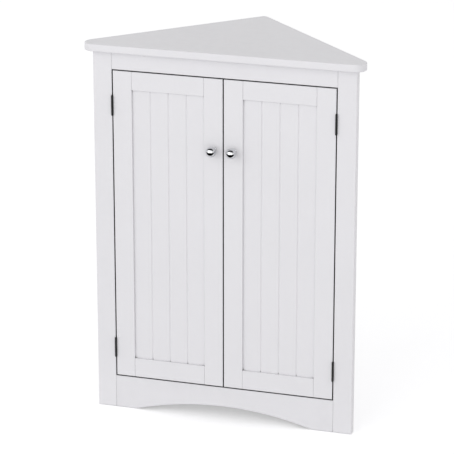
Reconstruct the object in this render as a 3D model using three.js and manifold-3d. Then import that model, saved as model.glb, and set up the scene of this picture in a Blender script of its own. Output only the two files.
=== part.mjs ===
// Corner cupboard: a three-cornered top board, a face frame with an arched apron, two doors
// with boarded panels, two side panels that meet in the corner behind, and shelves inside.
// Millimetres, +Z up. The front faces -Y and the right-angled corner points to +Y.
// While the pieces are made, Y = 0 is the front of the face frame. The last lines move the
// whole so that it stands on Z = 0 with X = 0 and Y = 0 in the middle of its box.

import * as THREE from 'three';
import { mergeVertices } from 'three/addons/utils/BufferGeometryUtils.js';
import Module from 'manifold-3d';

// Body
const overallHeight = 800;
const bodyHalfWidth = 277.7;

// Fits that the whole cupboard shares
const fitGap = 0.3;
const cutOverrun = 2;

// Top board
const topThickness = 16;
const topFrontOverhang = 18;
const topWallOverhang = 9.2;
const topFrontCornerRadius = 22;
const topBackCornerRadius = 10;

// Face frame
const frameThickness = 18;
const postWidth = 39.8;
const topRailHeight = 38.8;
const apronHeight = 71.2;
const archFoot = 45.9;
const archRise = 28.5;

// Side panels and the boards between them
const sideThickness = 12;
const boardThickness = 15;
const housingDepth = 4;
const shelfSetback = 6;
const looseShelfClearance = 1;
const fixedShelfHeightShare = 0.33;
const looseShelfHeightShare = 0.66;

// Shelf pins and the rows of holes that they stand in
const shelfPinRadius = 2.5;
const shelfPinGrip = 8;
const shelfPinReach = 9;
const shelfPinChamfer = 0.6;
const shelfHoleSpare = 1;
const shelfHolePitch = 32;
const shelfHoleRowCount = 3;
const shelfPinPlaceShares = [0.16, 0.74];

// Doors
const doorGap = 2.4;
const doorThickness = 18;
const stileWidth = 40.2;
const doorTopRailHeight = 39.2;
const doorBottomRailHeight = 41.3;
const panelThickness = 6;
const panelRecess = 5;
const panelTongue = 7;
const panelSlotSpare = 0.8;
const panelBoardCount = 4;
const panelGrooveWidth = 3;
const panelGrooveDepth = 1.5;

// Hinges
const hingeHeight = 42;
const lowerHingeInset = 62.8;
const upperHingeInset = 74;
const knuckleRadius = 2.2;
const knuckleCount = 3;
const knuckleSpacing = 0.3;
const knuckleClearance = 0.4;
const leafThickness = 1;
const leafReach = 15;
const hingePinRadius = 1;
const hingePinHeadRadius = 2;
const hingePinHeadThickness = 0.8;

// Hinge screws
const hingeScrewPitch = 26;
const hingeScrewPlace = 8.5;
const hingeScrewHeadRadius = 2.3;
const hingeScrewShankRadius = 1.1;
const hingeScrewLength = 13;
const hingeScrewTip = 3;

// Knobs and their screws
const knobDrop = 149.8;
const knobRadius = 11;
const knobProjection = 27.5;
const knobBaseRadius = 6.5;
const knobBaseThickness = 1.4;
const knobNeckRadius = 4.2;
const knobScrewRadius = 2;
const knobScrewGrip = 8;
const knobBoreSpare = 1.5;
const knobScrewHeadRadius = 4;
const knobScrewHeadThickness = 2.4;
const knobScrewHeadChamfer = 0.6;

// Magnetic catch and its strike plates
const catchWidth = 50;
const catchDepth = 16;
const catchGrip = 15;
const catchDrop = 16;
const catchClearance = 2;
const strikeWidth = 19;
const strikeHeight = 12;
const strikeThickness = 1.2;
const strikeInset = 2;
const strikeTopInset = 2;

// Smoothness of round work, in sides to a full turn or segments to an arc
const screwSides = 12;
const pinSides = 16;
const knuckleSides = 16;
const knobSides = 24;
const knobArcSteps = 10;
const cornerSegments = 8;
const archSegments = 24;

// Finishes
const paintedBoard = { color: 0xe4e3e6, roughness: 0.5, metalness: 0 };
const insideBoard = { color: 0xe0dfe1, roughness: 0.6, metalness: 0 };
const polishedChrome = { color: 0xd8dadd, roughness: 0.08, metalness: 1 };
const blackSteel = { color: 0x161618, roughness: 0.45, metalness: 0.8 };
const zincSteel = { color: 0xa9abad, roughness: 0.35, metalness: 1 };
const whitePlastic = { color: 0xdddcd8, roughness: 0.45, metalness: 0 };

// Places that several pieces share
const diagonal = Math.SQRT2;
const topUnderside = overallHeight - topThickness;
const topRailUnderside = topUnderside - topRailHeight;
const openingHalfWidth = bodyHalfWidth - postWidth;
const bodyCornerY = frameThickness + bodyHalfWidth;
const innerCornerY = bodyCornerY - sideThickness * diagonal;
const topCornerY = bodyCornerY + topWallOverhang * diagonal;
const insideHeight = topUnderside - apronHeight;
const fixedShelfUnderside = apronHeight + insideHeight * fixedShelfHeightShare;
const looseShelfUnderside = apronHeight + insideHeight * looseShelfHeightShare;
const shelfFrontY = frameThickness + shelfSetback;
const doorOuter = openingHalfWidth - doorGap;
const doorInner = doorGap / 2;
const doorBottom = apronHeight + doorGap;
const doorTop = topRailUnderside - doorGap;
const panelOuter = doorOuter - stileWidth;
const panelInner = doorInner + stileWidth;
const panelBottom = doorBottom + doorBottomRailHeight;
const panelTop = doorTop - doorTopRailHeight;
const archHalfSpan = openingHalfWidth - archFoot;
const hingeAxisX = openingHalfWidth - doorGap / 2;
const hingeAxisY = -(knuckleRadius + fitGap);
const knobX = doorInner + stileWidth / 2;
const knobHeight = doorTop - knobDrop;
const quarterTurn = Math.PI / 2;
const eighthTurn = Math.PI / 4;

const wasm = await Module();
wasm.setup();

const cupboard = new THREE.Group();

// Adds one named piece with a material of its own.
function addPiece(name, geometry, finish, parent = cupboard) {
  const piece = new THREE.Mesh(geometry, new THREE.MeshStandardMaterial(finish));
  piece.name = name;
  parent.add(piece);
  return piece;
}

// Turns a closed geometry into a solid that can be cut and joined.
function solidFrom(geometry) {
  const bare = geometry.clone();
  bare.deleteAttribute('normal');
  bare.deleteAttribute('uv');
  const merged = mergeVertices(bare);
  return new wasm.Manifold(new wasm.Mesh({
    numProp: 3,
    vertProperties: merged.getAttribute('position').array,
    triVerts: Uint32Array.from(merged.getIndex().array),
  }));
}

// Turns a solid back into a geometry with flat faces.
function geometryFrom(solid) {
  const mesh = solid.getMesh();
  const indexed = new THREE.BufferGeometry();
  indexed.setAttribute('position', new THREE.BufferAttribute(mesh.vertProperties, 3));
  indexed.setIndex(new THREE.BufferAttribute(mesh.triVerts, 1));
  const faceted = indexed.toNonIndexed();
  faceted.computeVertexNormals();
  return faceted;
}

function cut(geometry, cutters) {
  let solid = solidFrom(geometry);
  for (const cutter of cutters) {
    solid = solid.subtract(solidFrom(cutter));
  }
  return geometryFrom(solid);
}

function join(geometries) {
  let solid = solidFrom(geometries[0]);
  for (const geometry of geometries.slice(1)) {
    solid = solid.add(solidFrom(geometry));
  }
  return geometryFrom(solid);
}

// A square-edged block between two corners, each given as [x, y, z] in either order.
function block(cornerA, cornerB) {
  const geometry = new THREE.BoxGeometry();
  const position = geometry.getAttribute('position');
  for (let i = 0; i < position.count; i += 1) {
    const place = [position.getX(i), position.getY(i), position.getZ(i)].map((value, axis) => {
      const low = Math.min(cornerA[axis], cornerB[axis]);
      const high = Math.max(cornerA[axis], cornerB[axis]);
      return value < 0 ? low : high;
    });
    position.setXYZ(i, ...place);
  }
  return geometry;
}

// A straight-sided piece of one plan outline, from one height to another.
function upright(outline, bottomZ, topZ, curveSegments = cornerSegments) {
  const options = { depth: 1, bevelEnabled: false, curveSegments };
  const geometry = new THREE.ExtrudeGeometry(outline, options);
  const position = geometry.getAttribute('position');
  for (let i = 0; i < position.count; i += 1) {
    position.setZ(i, position.getZ(i) > 0 ? topZ : bottomZ);
  }
  return geometry;
}

// A straight-sided piece of one outline seen from the front, between two depths.
function frontal(outline, frontY, backY, curveSegments) {
  const geometry = upright(outline, frontY, backY, curveSegments);
  const position = geometry.getAttribute('position');
  for (let i = 0; i < position.count; i += 1) {
    const depth = position.getZ(i) === Math.fround(frontY) ? backY : frontY;
    position.setXYZ(i, position.getX(i), depth, position.getY(i));
  }
  geometry.computeVertexNormals();
  return geometry;
}

function outlineThrough(points) {
  return new THREE.Shape(points.map(([x, y]) => new THREE.Vector2(x, y)));
}

// A turned piece: points are [radius, distance along the axis], starting and ending on it.
function turned(points, sides) {
  return new THREE.LatheGeometry(points.map(([r, h]) => new THREE.Vector2(r, h)), sides);
}

// A plain turned rod for cutting round holes, from the origin along +Y.
function rod(radius, length, sides) {
  return turned([[0, 0], [radius, 0], [radius, length], [0, length]], sides);
}

// Top board
function topBoardOutline() {
  const frontArcX = topCornerY + topFrontOverhang - topFrontCornerRadius * (1 + diagonal);
  const frontArcY = topFrontCornerRadius - topFrontOverhang;
  const backArcY = topCornerY - topBackCornerRadius * diagonal;
  const outline = new THREE.Shape();
  outline.absarc(frontArcX, frontArcY, topFrontCornerRadius, -quarterTurn, eighthTurn);
  outline.absarc(0, backArcY, topBackCornerRadius, eighthTurn, 3 * eighthTurn);
  outline.absarc(-frontArcX, frontArcY, topFrontCornerRadius, 3 * eighthTurn, 3 * quarterTurn);
  outline.closePath();
  return outline;
}

addPiece('top_board', upright(topBoardOutline(), topUnderside, overallHeight), paintedBoard);

// Boards between the side panels: reach is how far they go into the panels' housings.
function cornerBoardOutline(frontY, reach) {
  const cornerY = innerCornerY + reach * diagonal;
  return outlineThrough([[frontY - cornerY, frontY], [cornerY - frontY, frontY], [0, cornerY]]);
}

const bottomBoardBottom = apronHeight - boardThickness;
const looseShelfTop = looseShelfUnderside + boardThickness;
const fixedShelfTop = fixedShelfUnderside + boardThickness;

addPiece(
  'bottom_board',
  upright(cornerBoardOutline(frameThickness, housingDepth), bottomBoardBottom, apronHeight),
  insideBoard,
);
addPiece(
  'fixed_shelf',
  upright(cornerBoardOutline(shelfFrontY, housingDepth), fixedShelfUnderside, fixedShelfTop),
  insideBoard,
);
addPiece(
  'adjustable_shelf',
  upright(cornerBoardOutline(shelfFrontY, -looseShelfClearance), looseShelfUnderside, looseShelfTop),
  insideBoard,
);

// The housings are a fit gap larger than the boards that stand in them.
function housingCutters() {
  const reach = housingDepth + fitGap;
  const frontY = frameThickness - cutOverrun;
  return [
    [bottomBoardBottom, apronHeight, frontY],
    [fixedShelfUnderside, fixedShelfTop, shelfFrontY - fitGap],
  ].map(([low, high, front]) => upright(cornerBoardOutline(front, reach), low - fitGap, high + fitGap));
}

// Where the shelf pins and their holes stand along a side panel's inner face
const looseShelfPinZ = looseShelfUnderside - fitGap - shelfPinRadius;
const shelfHoleRadius = shelfPinRadius + fitGap;
const shelfHoleDepth = shelfPinGrip + shelfHoleSpare;

function shelfPinPlaces(side) {
  return shelfPinPlaceShares.map((share) => {
    const y = frameThickness + (innerCornerY - frameThickness) * share;
    return [side * (innerCornerY - y), y];
  });
}

// A frame at a place on a side panel's inner face whose +Y runs into the panel
function panelFaceFrame(side, [x, y], z) {
  const frame = new THREE.Group();
  frame.position.set(x, y, z);
  frame.rotation.z = -side * eighthTurn;
  frame.updateMatrix();
  return frame;
}

function shelfHoleCutters(side) {
  const cutters = [];
  for (const place of shelfPinPlaces(side)) {
    for (let row = 0; row < shelfHoleRowCount; row += 1) {
      const z = looseShelfPinZ + (row - (shelfHoleRowCount - 1) / 2) * shelfHolePitch;
      const frame = panelFaceFrame(side, place, z);
      const hole = rod(shelfHoleRadius, shelfHoleDepth + cutOverrun, pinSides);
      hole.translate(0, -cutOverrun, 0);
      hole.applyMatrix4(frame.matrix);
      cutters.push(hole);
    }
  }
  return cutters;
}

// The left side panel runs through to the corner and the right one butts against it.
function sidePanelOutline(side) {
  const half = sideThickness / diagonal;
  const outerFront = [side * bodyHalfWidth, frameThickness];
  const innerFront = [side * (bodyHalfWidth - sideThickness * diagonal), frameThickness];
  const jointY = bodyCornerY - half;
  const lap = fitGap / diagonal;
  const ends = side < 0
    ? [[half, jointY], [0, bodyCornerY]]
    : [[lap, innerCornerY - lap], [half + lap, jointY - lap]];
  return outlineThrough([outerFront, innerFront, ...ends]);
}

for (const [side, word] of [[-1, 'left'], [1, 'right']]) {
  const blank = upright(sidePanelOutline(side), 0, topUnderside);
  const cutters = [...housingCutters(), ...shelfHoleCutters(side)];
  addPiece(`${word}_side_panel`, cut(blank, cutters), paintedBoard);
}

// Shelf pins, in groups turned to face into the side panels
const pinProfile = [
  [0, -shelfPinReach],
  [shelfPinRadius - shelfPinChamfer, -shelfPinReach],
  [shelfPinRadius, shelfPinChamfer - shelfPinReach],
  [shelfPinRadius, shelfPinGrip - shelfPinChamfer],
  [shelfPinRadius - shelfPinChamfer, shelfPinGrip],
  [0, shelfPinGrip],
];

for (const [side, word] of [[-1, 'left'], [1, 'right']]) {
  shelfPinPlaces(side).forEach((place, index) => {
    const frame = panelFaceFrame(side, place, looseShelfPinZ);
    const end = index === 0 ? 'front' : 'back';
    addPiece(`${word}_${end}_shelf_pin`, turned(pinProfile, pinSides), zincSteel, frame);
    cupboard.add(frame);
  });
}

// Face frame
const hingeLevels = [
  ['lower', doorBottom + lowerHingeInset],
  ['upper', doorTop - upperHingeInset],
];
const screwHeadGap = fitGap * diagonal;
const screwPilotRadius = hingeScrewShankRadius + fitGap;
const screwPilotDepth = hingeScrewLength + fitGap;

function hingeScrewHeights() {
  return hingeLevels.flatMap(([, middleZ]) => [-1, 1].map((end) => middleZ + end * hingeScrewPitch / 2));
}

// A rod or turned piece along +Y is laid along +X or -X, with its start at the given place.
function laidAlongX(geometry, direction, x, y, z) {
  geometry.rotateZ(-direction * quarterTurn);
  geometry.translate(x, y, z);
  return geometry;
}

// Pilot holes for the hinge screws, running into the wood in the given X direction.
function pilotCutters(faceX, direction) {
  return hingeScrewHeights().map((z) => {
    const pilot = rod(screwPilotRadius, screwPilotDepth + cutOverrun, screwSides);
    return laidAlongX(pilot, direction, faceX - direction * cutOverrun, hingeScrewPlace, z);
  });
}

for (const [side, word] of [[-1, 'left'], [1, 'right']]) {
  const blank = block(
    [side * openingHalfWidth, 0, 0],
    [side * bodyHalfWidth, frameThickness, topUnderside],
  );
  const cutters = pilotCutters(side * openingHalfWidth, side);
  addPiece(`${word}_post`, cut(blank, cutters), paintedBoard);
}

addPiece(
  'top_rail',
  block([-openingHalfWidth, 0, topRailUnderside], [openingHalfWidth, frameThickness, topUnderside]),
  paintedBoard,
);

// The apron stands on the floor at both ends and arches up between them.
function apronOutline() {
  const archRadius = (archHalfSpan ** 2 + archRise ** 2) / (2 * archRise);
  const archHalfAngle = Math.asin(archHalfSpan / archRadius);
  const outline = new THREE.Shape();
  outline.moveTo(-openingHalfWidth, 0);
  outline.lineTo(-archHalfSpan, 0);
  outline.absarc(
    0,
    archRise - archRadius,
    archRadius,
    quarterTurn + archHalfAngle,
    quarterTurn - archHalfAngle,
    true,
  );
  outline.lineTo(openingHalfWidth, 0);
  outline.lineTo(openingHalfWidth, apronHeight);
  outline.lineTo(-openingHalfWidth, apronHeight);
  outline.closePath();
  return outline;
}

addPiece('apron', frontal(apronOutline(), 0, frameThickness, archSegments), paintedBoard);

// Doors: frames with a slot round the inside, stub tenons on the rails and a floating panel
const slotFront = panelRecess - fitGap;
const slotBack = panelRecess + panelThickness + fitGap;
const slotDepth = panelTongue + panelSlotSpare;

function doorStile(side, fromX, toX, slotX, slotDirection) {
  const blank = block([side * fromX, 0, doorBottom], [side * toX, doorThickness, doorTop]);
  const slot = block(
    [side * (slotX - slotDirection * cutOverrun), slotFront, doorBottom - cutOverrun],
    [side * (slotX + slotDirection * slotDepth), slotBack, doorTop + cutOverrun],
  );
  return [blank, slot];
}

// A rail has tenons that enter the stiles' slots and a slot for the panel in its inner edge.
function doorRail(side, outerZ, innerZ) {
  const intoRail = Math.sign(outerZ - innerZ);
  const tenonShoulder = innerZ + intoRail * (slotDepth + fitGap);
  const rail = join([
    block([side * panelInner, 0, outerZ], [side * panelOuter, doorThickness, innerZ]),
    block(
      [side * (panelInner - panelTongue), panelRecess, outerZ],
      [side * (panelOuter + panelTongue), panelRecess + panelThickness, tenonShoulder],
    ),
  ]);
  const slot = block(
    [side * (panelInner - panelTongue - cutOverrun), slotFront, innerZ - intoRail * cutOverrun],
    [side * (panelOuter + panelTongue + cutOverrun), slotBack, innerZ + intoRail * slotDepth],
  );
  return cut(rail, [slot]);
}

// The panel's front has a V groove between each two boards.
function doorPanel(side) {
  const frontY = panelRecess;
  const backY = panelRecess + panelThickness;
  const boardWidth = (panelOuter - panelInner) / panelBoardCount;
  const front = [];
  for (let joint = 1; joint < panelBoardCount; joint += 1) {
    const x = panelInner + joint * boardWidth;
    front.push([side * (x - panelGrooveWidth / 2), frontY]);
    front.push([side * x, frontY + panelGrooveDepth]);
    front.push([side * (x + panelGrooveWidth / 2), frontY]);
  }
  const outline = outlineThrough([
    [side * (panelInner - panelTongue), frontY],
    ...front,
    [side * (panelOuter + panelTongue), frontY],
    [side * (panelOuter + panelTongue), backY],
    [side * (panelInner - panelTongue), backY],
  ]);
  return upright(outline, panelBottom - panelTongue, panelTop + panelTongue);
}

for (const [side, word] of [[-1, 'left'], [1, 'right']]) {
  const [hingeStile, hingeSlot] = doorStile(side, panelOuter, doorOuter, panelOuter, 1);
  const pilots = pilotCutters(side * doorOuter, -side);
  addPiece(`${word}_door_hinge_stile`, cut(hingeStile, [hingeSlot, ...pilots]), paintedBoard);

  const [meetingStile, meetingSlot] = doorStile(side, doorInner, panelInner, panelInner, -1);
  const screwHole = rod(knobScrewRadius + fitGap, doorThickness + 2 * cutOverrun, screwSides);
  screwHole.translate(side * knobX, -cutOverrun, knobHeight);
  addPiece(`${word}_door_meeting_stile`, cut(meetingStile, [meetingSlot, screwHole]), paintedBoard);

  addPiece(`${word}_door_top_rail`, doorRail(side, doorTop, panelTop), paintedBoard);
  addPiece(`${word}_door_bottom_rail`, doorRail(side, doorBottom, panelBottom), paintedBoard);
  addPiece(`${word}_door_panel`, doorPanel(side), paintedBoard);
}

// Knobs: a ball on a short neck and foot, turned in one piece with a blind hole for the screw
function knobProfile() {
  const centre = knobProjection - knobRadius;
  const neckAngle = Math.PI - Math.asin(knobNeckRadius / knobRadius);
  const ball = [];
  for (let step = 0; step < knobArcSteps; step += 1) {
    const angle = neckAngle * (1 - step / knobArcSteps);
    ball.push([knobRadius * Math.sin(angle), centre + knobRadius * Math.cos(angle)]);
  }
  const boreRadius = knobScrewRadius + fitGap;
  const boreDepth = knobScrewGrip + knobBoreSpare;
  return [
    [0, boreDepth],
    [boreRadius, boreDepth],
    [boreRadius, 0],
    [knobBaseRadius, 0],
    [knobBaseRadius, knobBaseThickness],
    [knobNeckRadius, 2 * knobBaseThickness],
    ...ball,
    [0, knobProjection],
  ];
}

const knobScrewProfile = [
  [0, -knobScrewHeadThickness],
  [knobScrewHeadRadius - knobScrewHeadChamfer, -knobScrewHeadThickness],
  [knobScrewHeadRadius, knobScrewHeadChamfer - knobScrewHeadThickness],
  [knobScrewHeadRadius, 0],
  [knobScrewRadius, 0],
  [knobScrewRadius, doorThickness + knobScrewGrip],
  [0, doorThickness + knobScrewGrip],
];

for (const [side, word] of [[-1, 'left'], [1, 'right']]) {
  const knob = turned(knobProfile(), knobSides);
  knob.rotateX(Math.PI);
  knob.translate(side * knobX, 0, knobHeight);
  addPiece(`${word}_knob`, knob, polishedChrome);

  const screw = turned(knobScrewProfile, screwSides);
  screw.rotateX(Math.PI);
  screw.translate(side * knobX, doorThickness, knobHeight);
  addPiece(`${word}_knob_screw`, screw, zincSteel);
}

// Hinges: two leaves with knuckles round one pin, flat on the post and on the door's edge
const knuckleHeight = hingeHeight / knuckleCount;

// A rod along +Y is stood up along +Z on the hinge's axis.
function alongHingeAxis(radius, side, bottomZ, topZ) {
  const upRod = rod(radius, topZ - bottomZ, knuckleSides);
  upRod.rotateX(quarterTurn);
  upRod.translate(side * hingeAxisX, hingeAxisY, bottomZ);
  return upRod;
}

// The leaf's own knuckles are those whose number has the given parity, from the bottom.
function hingeLeaf(side, middleZ, plateFrom, plateTo, parity) {
  const bottomZ = middleZ - hingeHeight / 2;
  const topZ = middleZ + hingeHeight / 2;
  const plate = block([side * plateFrom, hingeAxisY, bottomZ], [side * plateTo, leafReach, topZ]);
  const shape = [];
  const cutters = [];
  for (let number = 0; number < knuckleCount; number += 1) {
    const low = bottomZ + number * knuckleHeight;
    const high = low + knuckleHeight;
    if (number % 2 === parity) {
      const lowEnd = number === 0 ? low : low + knuckleSpacing / 2;
      const highEnd = number === knuckleCount - 1 ? high : high - knuckleSpacing / 2;
      shape.push(alongHingeAxis(knuckleRadius, side, lowEnd, highEnd));
    } else {
      const lowEnd = number === 0 ? low - cutOverrun : low - knuckleSpacing / 2;
      const highEnd = number === knuckleCount - 1 ? high + cutOverrun : high + knuckleSpacing / 2;
      cutters.push(alongHingeAxis(knuckleRadius + knuckleClearance, side, lowEnd, highEnd));
    }
  }
  const boreRadius = hingePinRadius + fitGap;
  const bore = alongHingeAxis(boreRadius, side, bottomZ - cutOverrun, topZ + cutOverrun);
  const clearedPlate = cutters.length ? cut(plate, cutters) : plate;
  return cut(join([clearedPlate, ...shape]), [bore]);
}

// The countersunk screw: head face first, running along +Y
const hingeScrewProfile = [
  [0, 0],
  [hingeScrewHeadRadius, 0],
  [hingeScrewShankRadius, leafThickness],
  [hingeScrewShankRadius, hingeScrewLength - hingeScrewTip],
  [0, hingeScrewLength],
];
const countersinkProfile = [
  [0, -cutOverrun],
  [hingeScrewHeadRadius + screwHeadGap, -cutOverrun],
  [hingeScrewHeadRadius + screwHeadGap, 0],
  [hingeScrewShankRadius + screwHeadGap, leafThickness],
  [hingeScrewShankRadius + screwHeadGap, leafThickness + cutOverrun],
  [0, leafThickness + cutOverrun],
];

for (const [side, word] of [[-1, 'left'], [1, 'right']]) {
  for (const [level, middleZ] of hingeLevels) {
    const hinge = `${word}_${level}_hinge`;
    const frameFace = openingHalfWidth - leafThickness;
    const doorFace = doorOuter + leafThickness;
    const leaves = [
      ['frame', frameFace, openingHalfWidth, 0, frameFace, 1],
      ['door', doorOuter, doorFace, 1, doorFace, -1],
    ];
    for (const [carrier, from, to, parity, faceX, into] of leaves) {
      const heights = [-1, 1].map((end) => middleZ + end * hingeScrewPitch / 2);
      const sinks = heights.map((z) => laidAlongX(
        turned(countersinkProfile, screwSides),
        side * into,
        side * faceX,
        hingeScrewPlace,
        z,
      ));
      const leaf = hingeLeaf(side, middleZ, from, to, parity);
      addPiece(`${hinge}_${carrier}_leaf`, cut(leaf, sinks), blackSteel);
      heights.forEach((z, index) => {
        const screw = turned(hingeScrewProfile, screwSides);
        laidAlongX(screw, side * into, side * faceX, hingeScrewPlace, z);
        const place = index === 0 ? 'bottom' : 'top';
        addPiece(`${hinge}_${carrier}_${place}_screw`, screw, blackSteel);
      });
    }
    const pin = turned([
      [0, -hingeHeight / 2],
      [hingePinRadius, -hingeHeight / 2],
      [hingePinRadius, hingeHeight / 2 + fitGap],
      [hingePinHeadRadius, hingeHeight / 2 + fitGap],
      [hingePinHeadRadius, hingeHeight / 2 + fitGap + hingePinHeadThickness],
      [0, hingeHeight / 2 + fitGap + hingePinHeadThickness],
    ], pinSides);
    pin.rotateX(quarterTurn);
    pin.translate(side * hingeAxisX, hingeAxisY, middleZ);
    addPiece(`${hinge}_pin`, pin, blackSteel);
  }
}

// Magnetic catch on the back of the top rail, and a strike plate on the back of each door
const catchFront = doorThickness + strikeThickness + fitGap;
const catchBottom = topRailUnderside - catchDrop;
const catchShoulder = topRailUnderside + catchClearance;
const catchBack = frameThickness + catchDepth;

addPiece(
  'magnetic_catch',
  join([
    block([-catchWidth / 2, frameThickness, catchShoulder], [catchWidth / 2, catchBack, catchShoulder + catchGrip]),
    block([-catchWidth / 2, catchFront, catchBottom], [catchWidth / 2, catchBack, catchShoulder + catchGrip]),
  ]),
  whitePlastic,
);

for (const [side, word] of [[-1, 'left'], [1, 'right']]) {
  const inner = doorInner + strikeInset;
  const top = doorTop - strikeTopInset;
  const plate = block(
    [side * inner, doorThickness, top - strikeHeight],
    [side * (inner + strikeWidth), doorThickness + strikeThickness, top],
  );
  addPiece(`${word}_strike_plate`, plate, zincSteel);
}

// The whole stands with the middle of its box over the origin.
const frontReach = Math.max(knobProjection, topFrontOverhang);
const backReach = topCornerY - topBackCornerRadius * (diagonal - 1);
cupboard.position.y = (frontReach - backReach) / 2;

export default cupboard;
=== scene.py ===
"""Corner cupboard: its finishes, its eased and turned surfaces, and a plain studio round it.

Everything is in metres in the frame of the solid model: the doors face -Y, +Z is up and the
right-angled corner points to +Y. Each sub-assembly is a class that reads its sizes from the
model's own boxes, works its surfaces out with numpy and dresses them.
"""

import enum
import logging
import math
from dataclasses import dataclass, field
from typing import Sequence

import bpy
import numpy as np
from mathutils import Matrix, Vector


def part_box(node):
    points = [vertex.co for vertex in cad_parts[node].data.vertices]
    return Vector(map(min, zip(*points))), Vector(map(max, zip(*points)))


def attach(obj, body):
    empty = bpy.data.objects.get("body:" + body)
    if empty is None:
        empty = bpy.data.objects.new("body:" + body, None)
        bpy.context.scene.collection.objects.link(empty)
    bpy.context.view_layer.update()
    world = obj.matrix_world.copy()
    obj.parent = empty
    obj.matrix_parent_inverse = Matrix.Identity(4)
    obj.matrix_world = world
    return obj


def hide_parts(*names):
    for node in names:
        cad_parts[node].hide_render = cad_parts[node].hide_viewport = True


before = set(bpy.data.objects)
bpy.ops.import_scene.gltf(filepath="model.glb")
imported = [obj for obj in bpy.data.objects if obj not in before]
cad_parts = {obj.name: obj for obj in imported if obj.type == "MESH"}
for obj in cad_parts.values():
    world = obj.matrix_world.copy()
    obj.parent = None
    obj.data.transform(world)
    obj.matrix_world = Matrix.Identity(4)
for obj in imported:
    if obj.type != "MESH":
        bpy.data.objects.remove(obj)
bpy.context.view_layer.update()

logging.basicConfig(level=logging.INFO, format="%(name)s: %(message)s")
LOG = logging.getLogger("corner_cupboard")

MM = 0.001
TINY = 1e-6
NEARLY_UPRIGHT = 0.9
DIAGONAL = math.sqrt(2.0)
SHARP_ANGLE = math.radians(38)
FORWARD = Vector((0.0, -1.0, 0.0))
UPWARD = Vector((0.0, 0.0, 1.0))
CARCASS = "carcass"

Socket = bpy.types.NodeSocket
Place = tuple[float, float, float]
Srgb = tuple[int, int, int]
Colour = tuple[float, float, float, float]
Points = Sequence[tuple[float, float]]
# An outline is its points and, for each, how far it is into its rounded corner.
Outline = tuple[np.ndarray, np.ndarray]
# A surface is its vertices, its faces and, for each vertex, how much hands rub it.
Surface = tuple[np.ndarray, list[tuple[int, ...]], np.ndarray]

BLACK: Colour = (0.0, 0.0, 0.0, 1.0)
WHITE: Colour = (1.0, 1.0, 1.0, 1.0)


class Axis(enum.Enum):
    """The direction that an outline is carried along, with the places of (u, v, along)."""

    X = (1, 2, 0)
    Y = (0, 2, 1)
    Z = (0, 1, 2)


class Side(enum.Enum):
    """A side of the cupboard, seen from the front."""

    LEFT = "left"
    RIGHT = "right"


class Member(enum.Enum):
    """A member of a door's frame, as the end of its node's name."""

    HINGE_STILE = "hinge_stile"
    MEETING_STILE = "meeting_stile"
    BOTTOM_RAIL = "bottom_rail"
    TOP_RAIL = "top_rail"

    @property
    def axis(self) -> Axis:
        """The member's length: a stile stands and a rail lies across."""
        return Axis.Z if self in (Member.HINGE_STILE, Member.MEETING_STILE) else Axis.X


class Level(enum.Enum):
    """Where a hinge sits on its door."""

    LOWER = "lower"
    UPPER = "upper"


class Leaf(enum.Enum):
    """A leaf of a hinge, by what it is screwed to."""

    FRAME = "frame"
    DOOR = "door"


class Operation(enum.Enum):
    """What a Math node does with its two values."""

    ADD = "ADD"
    SUBTRACT = "SUBTRACT"
    MULTIPLY = "MULTIPLY"
    MAXIMUM = "MAXIMUM"


class Detail(enum.Enum):
    """How many octaves of finer noise a pattern has."""

    SMOOTH = 1.0
    PLAIN = 2.0
    GRAINY = 3.0
    CLOUDY = 4.0


def linear(srgb: Srgb) -> Colour:
    """Turns a colour as a picture shows it into the linear values that a shader takes.

    A value v is v / 12.92 up to 0.04045, and ((v + 0.055) / 1.055) to the power 2.4 above.

    Args:
        srgb: red, green and blue from 0 to 255.

    Returns:
        Linear red, green, blue and an alpha of 1.
    """
    values = np.array(srgb) / 255.0
    low, high = values / 12.92, ((values + 0.055) / 1.055) ** 2.4
    return (*np.where(values <= 0.04045, low, high).tolist(), 1.0)


def calculate(
    tree: bpy.types.NodeTree, operation: Operation, first: Socket, second: Socket | float
) -> Socket:
    """Adds a Math node.

    Args:
        tree: the nodes of a material or of the world.
        operation: what it does with its two values.
        first: its first value.
        second: its second value, as a socket or as a number.

    Returns:
        The node's value.
    """
    node = tree.nodes.new("ShaderNodeMath")
    node.operation = operation.value
    tree.links.new(first, node.inputs[0])
    if isinstance(second, Socket):
        tree.links.new(second, node.inputs[1])
    else:
        node.inputs[1].default_value = second
    return node.outputs["Value"]


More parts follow.
